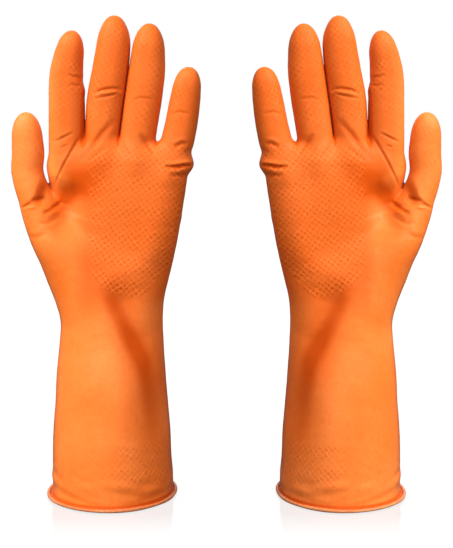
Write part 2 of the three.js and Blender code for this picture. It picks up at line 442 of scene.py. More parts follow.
# Mounds and hollows of the palm side: x, z, wide, tall, turn, height
PALM_MOUNDS = (
    (-38, 158, 13, 24, -25, 2.6),  # ball of the thumb
    (-33, 207, 5, 12, 25, 0.9),    # raised edge of the hollow beside the index finger
    (6, 150, 20, 24, 0, -2.6),     # cup of the palm
    (30, 168, 10, 26, 6, 1.4),     # heel on the little finger's side
    (-7, 214, 8, 9, 0, 1.4),       # pads under the fingers
    (15, 213, 8, 9, 0, 1.6),
    (36, 204, 7.5, 8, 0, 1.2),
    (22, 224, 4.5, 6, 30, -1),   # dip between ring and little finger
    (0, 104, 24, 24, 0, -3),     # the wrist is flatter than the cuff
    (-2, 112, 9, 26, -30, 1.2),  # roll beside the step across the wrist
    (8, 66, 10, 36, -6, 0.8),
    (28, 140, 10, 14, 30, -0.8),
)
# Steps: the skin sinks on the right of a line that runs up from its foot to its top (x, z).
# Then depth, width of the slope, how slowly it rises again, and the shares of the line's length
# between which the step grows and fades.
PALM_STEPS = (
    ((-38, 192.5), (-18, 231.5), 4.2, 18, 60, (-0.60, -0.20), (-0.25, 0.70)),  # by the index
    ((-50.5, 186.5), (-45.5, 203), 4.2, 7, 12, (-0.05, 0.15), (0.6, 1.3)),     # inside the thumb
    ((14.5, 84), (-11, 134), 5.2, 14, 22, (-0.20, 0.25), (0.66, 1.05)),        # across the wrist
    ((23, 34), (15.5, 84), 2.8, 13, 30, (-0.2, 0.6), (0.9, 1.3)),              # down the cuff
)
# Painted shade, on a step's slope that faces away from the light and in folds:
STEP_PAINTED_SHADE = 0.35                          # how much deeper the colour is on a step's slope,
FOLD_PAINTED_SHADE, DEEPEST_FOLD_PAINTED_SHADE = 0.32, 0.4  # in a fold, for each millimetre, and in the deepest
# Hollows that only a little light reaches: x, z, wide, tall, turn, depth, how much deeper the tone is
PALM_HOLLOWS = (
    (-24, 190.5, 9, 18, 54, 1.5, 0.45),  # between the thumb and the index finger
    (-29, 192, 6, 10, 56, 0, 0.35),
    (-19, 201, 9, 20, 48, 0, 0.30),
    (-43, 193.5, 4, 7.5, 20, 0, 0.5),     # inside of the thumb
    (14.5, 102, 10, 28, -25, 1.2, 0.65),  # across the wrist
    (22, 72, 11, 34, -6, 0, 0.35),        # and on down the cuff
)
# Mounds of the back: knuckles, and tendons between them and the wrist
BACK_MOUNDS = (
    (-29.5, 226, 8, 9, 0, 1.3),
    (-7, 229, 8, 9, 0, 1.5),
    (15, 227, 8, 9, 0, 1.4),
    (37, 216, 7.5, 9, 8, 1.2),
    (-22, 190, 5, 26, -10, 0.8),
    (-4, 192, 5, 28, -2, 0.9),
    (13, 190, 5, 26, 7, 0.8),
    (30, 180, 6, 24, 14, 0.6),
    (-12, 112, 14, 20, 20, -1.2),
    (14, 96, 10, 26, -24, 1),
)
# Folds of the palm side: points (x, z) along each, depth, width, and the height of the lip beside it,
# which is above the fold, or below it where the height is negative
PALM_FOLDS = (
    (((-11, 256.2), (-6, 258.2), (1, 259.2), (7, 258.6)), 1, 1.1, -0.7),
    (((-10.5, 253), (-4, 253.8), (2, 255.4), (7, 258)), 0.4, 0.9, -0.1),
    (((3, 240), (-4.5, 231.5), (-9.5, 225), (-15, 218.5), (-19, 214)), 0.9, 1.9, 0.15),
    (((-15, 213.5), (-8, 218.5), (-2, 223)), 0.5, 1.4, 0.2),
    (((-18, 231.5), (-23, 222.5), (-28, 213.5), (-33, 203.5), (-36.5, 196.5)), 0.8, 0.9, 0.2),
    (((-36, 225.4), (-30, 228), (-23.5, 231.4)), 0.6, 0.9, 0.2),
    (((-32, 221.6), (-27, 223.6)), 0.35, 0.8, 0.1),
    (((-56.5, 183.5), (-51, 186.2), (-45.5, 186.4)), 1.2, 0.9, -0.35),
    (((-52, 186.5), (-47.5, 188.8), (-43, 189.6), (-39.5, 188.6)), 1.1, 1.4, -0.7),
    (((-31, 187.5), (-35, 184.4), (-41.5, 180.2)), 1.5, 1.4, -0.5),
    (((-45, 175), (-38.5, 174.6), (-31, 178.6)), 0.35, 1.2, -0.25),
    (((-51, 165.5), (-45, 166), (-39, 168.5)), 0.45, 1.5, 0.2),
    (((34.5, 209.8), (41, 209.4), (46, 210.2), (52, 210.8)), 1.6, 1.1, 0.9),
    (((38, 205), (43, 204), (48, 204.6)), 0.8, 1.3, 0.3),
    (((40, 222), (45, 224.4), (49, 224)), 0.8, 1.3, 0.4),
    (((18.5, 231), (23, 224), (28, 217)), 0.8, 1.5, 0.3),
    (((4, 231), (9, 222), (16, 214)), 0.5, 1.6, 0.2),
    (((-27, 268), (-22, 266.5), (-17, 267)), 0.5, 0.9, 0.2),
    (((-26, 262), (-21, 261), (-17, 262)), 0.4, 0.8, 0.1),
    (((14, 252), (20, 253.4), (27, 252.4)), 0.3, 1, 0.1),
    (((38, 243), (44, 244.4), (50, 243)), 0.35, 1, 0.1),
)
# Bulges and notches of the edges: x, z, radius, height, and which way the edge faces
EDGE_BULGES = (
    (50, 211, 5, 1.7, 1),
    (50.5, 219, 3, -0.7, 1),
    (47, 203.5, 3, -0.8, 1),
    (9.5, 256.6, 3.5, 0.3, 1),
    (-17.5, 258, 3, 0.5, 1),
    (-18, 264.5, 2.5, -0.5, 1),
    (-62, 186, 5, -0.5, -1),
)


def fold_depth(p, points, depth, width, lip):
    """How far a fold moves the skin out: a groove along the points, tapered at its ends, with a lip."""
    x, z = p[:, 0], p[:, 2]
    ends = np.array(points)
    lengths = np.linalg.norm(np.diff(ends, axis=0), axis=1)
    starts = np.concatenate([[0], np.cumsum(lengths)])
    best = np.full(len(p), 1e9)
    along = np.zeros(len(p))
    side = np.zeros(len(p))
    for (x0, z0), (x1, z1), length, start in zip(points, points[1:], lengths, starts):
        t = np.clip(((x - x0) * (x1 - x0) + (z - z0) * (z1 - z0)) / length**2, 0, 1)
        dx, dz = x - x0 - t * (x1 - x0), z - z0 - t * (z1 - z0)
        away = np.hypot(dx, dz)
        closer = away < best
        best = np.where(closer, away, best)
        along = np.where(closer, start + t * length, along)
        side = np.where(closer, np.sign(dz), side)
    taper = np.sin(np.pi * np.clip(along / starts[-1], 0, 1)) ** 0.6
    groove = np.exp(-((best / width) ** 2))
    ridge = np.exp(-(((best - 2.0 * width) / (1.1 * width)) ** 2)) * (side * lip > 0)
    return taper * (abs(lip) * ridge - depth * groove)


def step_down(p, foot, top, depth, width, fade, grow, shrink):
    """How far a step sinks the skin, and how strong its slope is, from 0 to 1."""
    run = np.array(top) - foot
    length = np.linalg.norm(run)
    run = run / length
    offset = p[:, [0, 2]] - foot
    t = (offset @ run) / length
    away = offset @ np.array((run[1], -run[0]))
    reach = rise(t, *grow) * (1 - rise(t, *shrink))
    drop = smooth(away / width)
    profile = drop * np.exp(-np.maximum(away - width, 0) / fade)
    return depth * profile * reach, 4 * drop * (1 - drop) * reach


def wave(p, seed, scale, count=6):
    """A smooth random field, the same each run: a few plane waves of about this wavelength."""
    draw = np.random.default_rng(seed)
    total = np.zeros(len(p))
    for _ in range(count):
        direction = draw.normal(size=3)
        direction /= np.linalg.norm(direction)
        length = scale * draw.uniform(0.7, 1.4)
        total += np.sin(p @ direction * (2 * np.pi / length) + draw.uniform(0, 2 * np.pi))
    return total / math.sqrt(count)


def form_relief(p, normals):
    """How each point moves for mounds, folds and wrinkles, and how much painted shade its place gets, from 0
    to 1.

    What belongs to the palm or the back moves straight out of it or into it, so that tight folds stay
    clean; unevenness moves the skin along its normal.
    """
    front = palm_side(normals)
    out = sum(height * bump(p, *place) for *place, height in PALM_MOUNDS)
    # painted shade, from 0 to 1: slopes facing away from the light, hollows and folds
    painted_hollow_shade = np.zeros(len(p))
    for step in PALM_STEPS:
        sunk, slope = step_down(p, *step)
        out = out - sunk
        painted_hollow_shade += STEP_PAINTED_SHADE * slope
    for *place, depth, painted_shade in PALM_HOLLOWS:
        shape = bump(p, *place)
        out = out - depth * shape
        painted_hollow_shade += painted_shade * shape
    for points, depth, width, lip in PALM_FOLDS:
        fold = fold_depth(p, points, depth, width, lip)
        out = out + fold
        painted_hollow_shade += np.clip(-FOLD_PAINTED_SHADE * fold, 0, DEEPEST_FOLD_PAINTED_SHADE)
    raised = sum(height * bump(p, *place) for *place, height in BACK_MOUNDS)
    swell = np.zeros(len(p))
    for x, z, radius, height, facing in EDGE_BULGES:
        swell += height * smooth(facing * normals[:, 0] * 1.6) * bump(p, x, z, radius, radius)
    # faint unevenness everywhere, and soft slanting wrinkles above the rim
    swell += 0.16 * wave(p, seed=3, scale=34) + 0.05 * wave(p, seed=5, scale=9)
    low = rise(p[:, 2], 26, 8) * rise(p[:, 2], 3, 6)
    slant = p @ np.array([(1, 0, 0), (0, 1, 0), (1.1, 0, 2)])
    swell += low * 0.24 * wave(slant, seed=8, scale=20, count=5)
    moved = normals * swell[:, None]
    moved[:, 1] += back_side(normals) * raised - front * out
    return moved, front * painted_hollow_shade


# ---------- grip lattice

PITCH = 2.85  # from one ridge to the next
RIDGE_SHARPNESS = 1.6
DRIFT = 0.28  # how far the lattice wanders from a regular one
# How far each area's lattice is turned from 45 degrees, and the height of its ridges
PALM_TURN, CUFF_TURN = -9.0, 1.5
STALL_TURN = {"index": -5.0, "middle": -11.0, "ring": -8.0, "little": -13.0, "thumb": 16.0}
STALL_GRIP = {"index": 0.14, "middle": 0.12, "ring": 0.11, "little": 0.15, "thumb": 0.10}
PALM_GRIP, CUFF_GRIP = 0.14, 0.13
PIT_PAINTED_SHADE = 0.23  # painted shade: the latex between the ridges is painted this much deeper


def net(u, v, turn):
    """Two crossed families of rounded ridges at a pitch, 1 on a ridge and 0 between."""
    ridge = np.zeros_like(u)
    for angle in (45.0 + turn, 135.0 + turn):
        c, s = math.cos(math.radians(angle)), math.sin(math.radians(angle))
        phase = np.cos((u * c + v * s) * (2 * np.pi / PITCH))
        ridge = np.maximum(ridge, np.clip(phase, 0, 1) ** RIDGE_SHARPNESS)
    return ridge


STALL_UNWRAP, CUFF_UNWRAP = 10.0, 38.0  # millimetres round a stall or the cuff, for each radian


def palm_grip_share(p, normals):
    """How strong the palm's grip is: from an arc at its heel to the feet of the fingers."""
    x, z = p[:, 0], p[:, 2]
    arc = 125.5 + 0.0305 * (x - 12) ** 2
    hand = rise(x, -17, -11) * rise(z, arc, arc + 3) * (1 - rise(z, 218, 228))
    return hand * rise(normals[:, 1], 0.05, -0.45)


def cuff_grip_share(angle, z):
    """How strong the grip is in the band round the cuff, which is faint on the thumb's side."""
    band = rise(z, 11, 14) * rise(z, 41, 37) * rise(np.abs(angle - 0.1), 1.5, 1.0)
    return band * (0.3 + 0.7 * rise(angle, -0.1, 0.25))


def grip_relief(p, normals, stall):
    """The height of the raised grip, and how much of a ridge or of a pit each point is, from 0 to 1."""
    x, z = p[:, 0], p[:, 2]
    worn = 1 + 0.5 * rise(z, 190, 140)  # it stands higher towards the wrist
    uneven = np.clip(0.75 + 0.42 * wave(p, seed=47, scale=5.5), 0.1, 1.5)
    drift_x, drift_z = (DRIFT * wave(p, seed, scale=9) for seed in (41, 43))
    palm_share = palm_grip_share(p, normals) * uneven * (0.45 + 0.3 * worn)
    areas = [(PALM_GRIP * worn, palm_share, net(x + drift_x, z + drift_z, PALM_TURN))]
    patchy = (0.75 + 0.35 * wave(p, seed=31, scale=16)) * uneven
    for i, name in enumerate(STALLS):
        cx, cy, a, b = track(STALL_SECTIONS[name], z)
        angle = np.arctan2((x - cx) / a, -(p[:, 1] - cy) / b)
        start = 196 if name == "thumb" else 232
        share = rise(np.abs(angle), 1.75, 1.25) * rise(z, start, start + 10) * patchy * 0.55
        ridge = net(angle * STALL_UNWRAP + drift_x, z + drift_z, STALL_TURN[name])
        areas.append((STALL_GRIP[name], share * (stall == i), ridge))
    angle = np.arctan2(x, -p[:, 1])
    ridge = net(angle * CUFF_UNWRAP + drift_x, z + drift_z, CUFF_TURN)
    areas.append((CUFF_GRIP, cuff_grip_share(angle, z) * uneven, ridge))
    return [
        sum(height * share * ridge for height, share, ridge in areas),
        sum(share * ridge for height, share, ridge in areas),
        sum(share * (1 - ridge) for height, share, ridge in areas),
    ]


PALM_PAINTED_SHADE, RIM_PAINTED_SHADE = 0.56, 0.9  # painted shade of the whole palm side of the hand, which the light reaches less, and of the groove beside the bead


def latex_painted_shade(p, normals, painted_hollow_shade):
    """How much painted shade deepens the colour, from 0 to 1: on the palm side, which the light reaches
    less, in hollows, and in the groove beside the bead.
    """
    x, z = p[:, 0], p[:, 2]
    edge = -24 - 18 * rise(z, 190, 215)  # the ball of the thumb gets no painted shade
    hand = rise(z, 112, 134) * rise(x, edge, edge + 12) * palm_side(normals)
    return np.clip(PALM_PAINTED_SHADE * hand + RIM_PAINTED_SHADE * rise(z, 4.2, 2) + painted_hollow_shade, 0, 1)


def grip_zone(p, normals):
    """Where the mesh needs its finest cells: under the grip and the folds of the palm side."""
    z, facing = p[:, 2], normals[:, 1]
    hand = (z > 118) & (p[:, 0] > -20) & (facing < 0.15)
    thumb_side = (z > 158) & (facing < 0.15)
    stalls = (z > 198) & (facing < 0.45)
    cuff = (z > 9) & (z < 43) & (facing < 0.05)
    rim = z < 6.5
    return hand | thumb_side | stalls | cuff | rim


# ---------- one glove's skin

def unspread(p):
    """Closes the gap that the ring and little fingers were meshed with."""
    inner = np.minimum(stall_field(p, "index"), stall_field(p, "middle"))
    outer = np.minimum(stall_field(p, "ring"), stall_field(p, "little"))
    share = 1 / (1 + np.exp(-np.clip((inner - outer) / 0.8, -30, 30)))
    closed = p.copy()
    closed[:, 0] -= BROUGHT_BACK * share * spread_share(p)
    return closed


def cut_mouth(vertices, quads):
    """Leaves out what is below the mouth, and levels the cells that cross it."""
    low = vertices[:, 2] < MOUTH
    quads = quads[~low[quads].all(1)]
    vertices = vertices.copy()
    vertices[low, 2] = MOUTH
    used = np.unique(quads)
    place = np.full(len(vertices), -1)
    place[used] = np.arange(len(used))
    return vertices[used], place[quads]


def gap_painted_shade(p):
    """How much painted shade deepens the colour where two fingers all but touch."""
    neighbour = np.sort([stall_field(p, name) for name in STALLS], axis=0)[1]
    return rise(neighbour, 5, 1.5) * rise(p[:, 2], 214, 228)


def outer_skin():
    """Vertices, quads, polygons, stall labels, grip ridge share and painted shade of the left glove's
    outside.
    """
    vertices, quads = surface_net(skin_field, MESH_STEP)
    vertices = settle(skin_field, relax(vertices, quads))
    vertices, quads = cut_mouth(vertices, quads)
    polygons = []
    normals = vertex_normals(vertices, fan(quads, []))
    fine = grip_zone(vertices, normals)[quads].any(1)
    vertices, quads, polygons = split_quads(vertices, quads, fine)
    rim = vertices[:, 2] <= MOUTH
    vertices = np.where(rim[:, None], vertices, settle(skin_field, vertices, 2))
    stall = nearest_stall(vertices)
    gap = gap_painted_shade(vertices)
    vertices = unspread(vertices)
    triangles = fan(quads, polygons)
    normals = vertex_normals(vertices, triangles)
    moved, painted_hollow_shade = form_relief(vertices, normals)
    vertices = vertices + moved
    normals = vertex_normals(vertices, triangles)
    height, grip, pits = grip_relief(vertices, normals, stall)
    painted_shade = latex_painted_shade(vertices, normals, painted_hollow_shade + PIT_PAINTED_SHADE * pits + gap)
    vertices = vertices + normals * height[:, None]
    return vertices, quads, polygons, stall, grip, painted_shade


def lining():
    """Vertices and quads of the inside, facing into the glove."""
    def inside(p):
        raised = np.maximum(p, (-np.inf, -np.inf, STRAIGHT_FROM))
        return skin_field(raised) + WALL + DEEP_WALL * rise(p[:, 2], 10, 30)
    vertices, quads = surface_net(inside, LINING_STEP)
    vertices = settle(inside, relax(vertices, quads))
    vertices, quads = cut_mouth(vertices, quads)
    stall = nearest_stall(vertices)
    vertices = unspread(vertices)
    normals = vertex_normals(vertices, fan(quads, []))
    moved, _ = form_relief(vertices, normals)
    return vertices + moved, quads[:, ::-1], stall


# ---------- pieces

class Bend:
    """One joint of the left glove: where its bending zone lies along the direction up the finger."""

    def __init__(self, point, up, below, above):
        self.point, self.up, self.below, self.above = point, up, below, above

    def height(self, p):
        return (p - self.point) @ self.up


ZONE_MARGIN = 0.9  # between a zone's end and the border with the next piece
FOOT_REACH = 7.0   # a stall starts to bend this far under its first hinge, or above its webs
WEB_MARGIN = 0.3
LEAST_ZONE = 1.5    # but at the least this far below the zone's end
TIP_REACH = 8.0     # the last bend of a stall ends this far above its hinge
WRIST_REACH = 24.0  # the wrist bends from this far below its hinge to as far above it


def local_point(metres):
    """A point of the left glove in its own frame."""
    return np.array(metres) / MM - CUFF_CENTRE


WRIST = Bend(local_point(JOINTS["left_wrist"]["pos_m"]), np.array((0.0, 0.0, 1.0)), WRIST_REACH, WRIST_REACH)


def stall_bends(name):
    """The bends of a stall, from the hinges of the CAD frame."""
    links = ("knuckle", "middle_bend", "tip_bend") if name != "thumb" else ("swing", "tip_bend")
    joints = [JOINTS[f"left_{name}_{link}"] for link in links]
    points = [local_point(joint["pos_m"]) for joint in joints]
    axis = np.array(joints[0]["axis"])
    up = points[1] - points[0]
    up -= axis * (up @ axis)
    up /= np.linalg.norm(up)
    gaps = [(b - a) @ up / 2 for a, b in zip(points, points[1:])]
    below = [FOOT_REACH] + [gap - ZONE_MARGIN for gap in gaps]
    above = [gap - ZONE_MARGIN for gap in gaps] + [TIP_REACH]
    return [Bend(*values) for values in zip(points, [up] * len(points), below, above)]


def bend_foot(name, bend, outside):
    """Where a stall's first bend starts: above the highest place where its skin meets its neighbours'."""
    vertices, quads, _, stall, *_ = outside
    mine = stall[quads] == STALLS.index(name)
    shared = vertices[np.unique(quads[mine.any(1) & ~mine.all(1)])]
    web = min(bend.height(shared).max(), bend.above - LEAST_ZONE)
    return max(-FOOT_REACH, web + WEB_MARGIN)


def face_pieces(centres, stall, bends, feet):
    """The piece each face belongs to, as (stall index + 1, part index), (0, 1) for the hand, (0, 0) cuff."""
    owner = np.zeros((len(centres), 2), int)
    owner[:, 1] = centres[:, 2] > WRIST.point[2] + WRIST.above + ZONE_MARGIN
    for i, name in enumerate(STALLS):
        first, *others = bends[name]
        mine = (stall == i) & (first.height(centres) > feet[name] - 2 * WEB_MARGIN)
        owner[mine] = (i + 1, 0)
        for part, bend in enumerate(others, start=1):
            owner[mine & (bend.height(centres) > -bend.below - ZONE_MARGIN)] = (i + 1, part)
    return owner


PART_NAMES = {name: ("base", "middle", "tip") for name in FINGERS}
PART_NAMES["thumb"] = ("base", "tip")
MIRROR = np.array((-1.0, 1.0, 1.0))


def piece_bodies(side, owner):
    """The CAD node a piece stands for, and the bodies on either side of the bending zone that it holds, or
    its one body where it holds none.
    """
    stall, part = owner
    hand = [f"{side}_cuff", f"{side}_palm"]
    if stall == 0:
        return hand[part], hand[part:]
    name = STALLS[stall - 1]
    parts = [f"{side}_{name}_{label}" for label in PART_NAMES[name]]
    return parts[part], (hand[1:] + parts)[part:part + 2]


def placed(points, side):
    """Left-glove millimetres as row-frame metres, for the left glove or the right one."""
    out = (points + CUFF_CENTRE) * MM
    return out * MIRROR if side == "right" else out


def build_mesh(name, vertices, faces, sheets, normals, grip, painted_shade):
    """A mesh whose faces take the material of their sheet: 0 outside, 1 lining."""
    mesh = bpy.data.meshes.new(name)
    mesh.from_pydata(vertices, [], faces)
    mesh.polygons.foreach_set("material_index", sheets)
    mesh.polygons.foreach_set("use_smooth", [True] * len(faces))
    for label, values in (("grip", grip), ("painted_shade", painted_shade)):
        attribute = mesh.attributes.new(label, "FLOAT", "POINT")
        attribute.data.foreach_set("value", values.astype(np.float32))
    mesh.normals_split_custom_set_from_vertices(normals.tolist())
    return mesh


def whole_skin(outside, inside, bends, feet):
    """Skin and lining as one: what each point holds, the faces, and each face's sheet and piece."""
    vertices, quads, polygons, stall, grip, painted_shade = outside
    in_vertices, in_quads, in_stall = inside
    normals = vertex_normals(vertices, fan(quads, polygons))
    in_normals = vertex_normals(in_vertices, fan(in_quads, []))
    plain = np.zeros(len(in_vertices))
    points = {
        "place": np.concatenate([vertices, in_vertices]),
        "normal": np.concatenate([normals, in_normals]),
        "grip": np.concatenate([grip, plain]),
        "painted_shade": np.concatenate([painted_shade, plain]),
    }
    faces = quads.tolist() + polygons + (in_quads + len(vertices)).tolist()
    sheets = np.array([0] * (len(faces) - len(in_quads)) + [1] * len(in_quads))
    labels = np.concatenate([stall, in_stall])[[face[0] for face in faces]]
    centres = np.array([points["place"][face].mean(0) for face in faces])
    return points, faces, sheets, face_pieces(centres, labels, bends, feet)


def skin_pieces(side, whole, materials, glove):
    """One glove's skin and lining, shared out among the bodies of the CAD frame."""
    points, faces, sheets, owners = whole
    place, normal = placed(points["place"], side), points["normal"]
    if side == "right":
        normal = normal * MIRROR
        faces = [face[::-1] for face in faces]
    for owner in np.unique(owners, axis=0):
        chosen = np.flatnonzero((owners == owner).all(1))
        used = np.unique(np.concatenate([faces[i] for i in chosen]))
        index = np.full(len(place), -1)
        index[used] = np.arange(len(used))
        node, bodies = piece_bodies(side, owner)
        mesh = build_mesh(
            f"{node}_skin",
            place[used],
            [index[faces[i]].tolist() for i in chosen],
            sheets[chosen],
            normal[used],
            points["grip"][used],
            points["painted_shade"][used],
        )
        for material in materials:
            mesh.materials.append(material)
        piece = bpy.data.objects.new(mesh.name, mesh)
        glove.objects.link(piece)
        if len(bodies) == 1:
            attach(piece, node)
        else:
            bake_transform(piece)
        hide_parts(node)


BEAD_AROUND, BEAD_ACROSS = 240, 16  # points round the mouth and round the roll
WAVE_RING = 40.0                    # radius of the circle that its unevenness is drawn on


def bead(side, material, glove):
    """The rolled edge of the cuff's mouth: a slightly uneven ring, flat where it meets the floor."""
    turn = np.repeat(np.arange(BEAD_AROUND) * 2 * np.pi / BEAD_AROUND, BEAD_ACROSS)
    roll = np.tile(np.arange(BEAD_ACROSS) * 2 * np.pi / BEAD_ACROSS, BEAD_AROUND)
    ring = np.stack([np.cos(turn), np.sin(turn), np.zeros_like(turn)], 1) * WAVE_RING
    thickness = BEAD_THICKNESS * (1 + 0.07 * wave(ring, seed=21, scale=17, count=4))
    drift = 0.16 * wave(ring, seed=23, scale=40, count=4)
    radius = BEAD_RADIUS + drift + thickness * np.cos(roll)
    height = BEAD_THICKNESS + np.maximum(thickness * np.sin(roll), -BEAD_THICKNESS)
    centre_x = HAND_TUBE[1, 1]
    points = np.stack([centre_x + radius * np.cos(turn), radius * np.sin(turn), height], 1)
    i, j = np.divmod(np.arange(BEAD_AROUND * BEAD_ACROSS), BEAD_ACROSS)
    row, next_row = i * BEAD_ACROSS, (i + 1) % BEAD_AROUND * BEAD_ACROSS
    next_j = (j + 1) % BEAD_ACROSS
    quads = np.stack([row + j, next_row + j, next_row + next_j, row + next_j], 1)
    if side == "right":
        quads = quads[:, ::-1]
    mesh = bpy.data.meshes.new(f"{side}_cuff_bead_skin")
    mesh.from_pydata(placed(points, side), [], quads.tolist())
    mesh.polygons.foreach_set("use_smooth", [True] * len(quads))
    mesh.materials.append(material)
    piece = bpy.data.objects.new(mesh.name, mesh)
    glove.objects.link(piece)
    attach(piece, f"{side}_cuff")
    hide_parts(f"{side}_cuff_bead")


# ---------- materials

class Nodes:
    """Short calls for building the node tree of a material or a world."""

    def __init__(self, owner):
        owner.use_nodes = True
        self.owner, self.tree = owner, owner.node_tree
        self.shader = self.tree.nodes.get("Principled BSDF")

    def add(self, kind, **settings):
        node = self.tree.nodes.new(kind)
        for key, value in settings.items():
            setattr(node, key, value)
        return node

    def link(self, source, target):
        self.tree.links.new(source, target)

    def fill(self, node, **values):
        """Sets plain values of a node's inputs. An underscore stands for a space."""
        for key, value in values.items():
            node.inputs[key.replace("_", " ")].default_value = value

    def math(self, operation, *values):
        node = self.add("ShaderNodeMath", operation=operation)
        for value, socket in zip(values, node.inputs):
            self.link(value, socket)
        return node.outputs["Value"]

    def noise(self, where, scale, detail=2.0, roughness=0.5):
        node = self.add("ShaderNodeTexNoise")
        self.fill(node, Scale=scale, Detail=detail, Roughness=roughness)
        self.link(where, node.inputs["Vector"])
        return node.outputs["Fac"]

    def spread(self, value, low, high, to_low, to_high):
        node = self.add("ShaderNodeMapRange")
        self.fill(node, From_Min=low, From_Max=high, To_Min=to_low, To_Max=to_high)
        self.link(value, node.inputs["Value"])
        return node.outputs["Result"]

    def mix(self, share, first, second):
        node = self.add("ShaderNodeMix", data_type="RGBA")
        self.link(share, node.inputs["Factor"])
        for value, socket in ((first, node.inputs["A"]), (second, node.inputs["B"])):
            if isinstance(value, tuple):
                socket.default_value = value
            else:
                self.link(value, socket)
        return node.outputs["Result"]

    def bump(self, height, strength, distance, normal=None):
        node = self.add("ShaderNodeBump")
        self.fill(node, Strength=strength, Distance=distance)
        self.link(height, node.inputs["Height"])
        if normal:
            self.link(normal, node.inputs["Normal"])
        return node.outputs["Normal"]


# Latex colours: the usual one, specks, and paler patches
SKIN_COLOURS = (0.765, 0.152, 0.016, 1.0), (0.69, 0.113, 0.008, 1.0), (0.82, 0.197, 0.033, 1.0)
BEAD_COLOURS = (0.50, 0.13, 0.035, 1.0), (0.30, 0.06, 0.014, 1.0), (0.62, 0.22, 0.08, 1.0)
WHITE = (1.0, 1.0, 1.0, 1.0)
FLOOR_GREYS = (0.10, 0.10, 0.10, 1.0), (0.11, 0.11, 0.11, 1.0)
FLOCK_COLOURS = (0.80, 0.34, 0.13, 1.0), (0.92, 0.58, 0.36, 1.0)
PAINTED_SHADE_COLOUR = (0.54, 0.067, 0.003, 1.0)  # painted shade: the colour that latex deepens towards where shade falls
EDGE_PAINTED_SHADE_COLOUR = (0.34, 0.075, 0.020, 1.0)  # painted shade of latex seen at a grazing angle


def latex_material(name, base, deep, light):
    """Dipped latex: satin, faintly mottled, a little light passing through, tiny pores."""
    n = Nodes(bpy.data.materials.new(name))
    where = n.add("ShaderNodeTexCoord").outputs["Object"]
    # mottling and specks, then the painted shade that the mesh carries, the painted highlight on the ridges,
    # then painted shade at grazing angles
    cloud = n.spread(n.noise(where, 28.0, 3.0), 0.35, 0.65, 0.0, 1.0)
    speck = n.spread(n.noise(where, 420.0, 2.0), 0.45, 0.75, 0.0, 0.35)
    colour = n.mix(cloud, base, light)
    colour = n.mix(speck, colour, deep)
    # painted shade: hollows, folds, pits, finger gaps, the palm side and the groove by the bead darken here,
    # and gloss less
    painted_shade = n.add("ShaderNodeAttribute", attribute_name="painted_shade").outputs["Fac"]
    colour = n.mix(painted_shade, colour, PAINTED_SHADE_COLOUR)
    grip = n.add("ShaderNodeAttribute", attribute_name="grip").outputs["Fac"]
    # painted highlight: the grip's ridges are painted lighter
    colour = n.mix(n.spread(grip, 0.0, 1.0, 0.0, 0.4), colour, light)
    # painted shade: the colour darkens at grazing angles, towards the silhouette
    facing = n.add("ShaderNodeLayerWeight")
    n.fill(facing, Blend=0.5)
    edge = n.spread(facing.outputs["Facing"], 0.62, 1.0, 0.0, 0.9)
    colour = n.mix(edge, colour, EDGE_PAINTED_SHADE_COLOUR)
    n.link(n.spread(painted_shade, 0.0, 1.0, 0.22, 0.05), n.shader.inputs["Specular IOR Level"])
    n.link(colour, n.shader.inputs["Base Color"])
    n.link(n.spread(n.noise(where, 90.0, 3.0), 0.3, 0.7, 0.46, 0.60), n.shader.inputs["Roughness"])
    pores = n.noise(where, 2600.0, 3.0, 0.6)
    ripple = n.noise(where, 300.0, 2.0)
    normal = n.bump(pores, 0.12, 0.0002, n.bump(ripple, 0.2, 0.0006))
    n.link(normal, n.shader.inputs["Normal"])
    n.fill(n.shader, Subsurface_Weight=0.04, Subsurface_Radius=(1, 0.3, 0.08), Subsurface_Scale=0.001)
    n.fill(n.shader, Sheen_Weight=0.03, Sheen_Roughness=0.5, Sheen_Tint=(1.0, 0.62, 0.36, 1.0))
    return n.owner


def flock_material():
    """The cotton flock inside: matt, pale orange and grainy."""
    n = Nodes(bpy.data.materials.new("flock_lining"))
    where = n.add("ShaderNodeTexCoord").outputs["Object"]
    grain = n.spread(n.noise(where, 1800.0, 3.0), 0.3, 0.7, 0.0, 1.0)
    n.link(n.mix(grain, *FLOCK_COLOURS), n.shader.inputs["Base Color"])
    n.fill(n.shader, Roughness=0.95, Sheen_Weight=0.5)
    n.link(n.bump(grain, 0.5, 0.0003), n.shader.inputs["Normal"])
    return n.owner


MIRROR_SHARE = 0.20  # how much of the floor under the gloves is a mirror
MIRROR_FADE = 0.044  # the mirror image is gone this far outside the rims
FLOOR_GLOW = 0.97    # what the camera sees where there is no mirror image


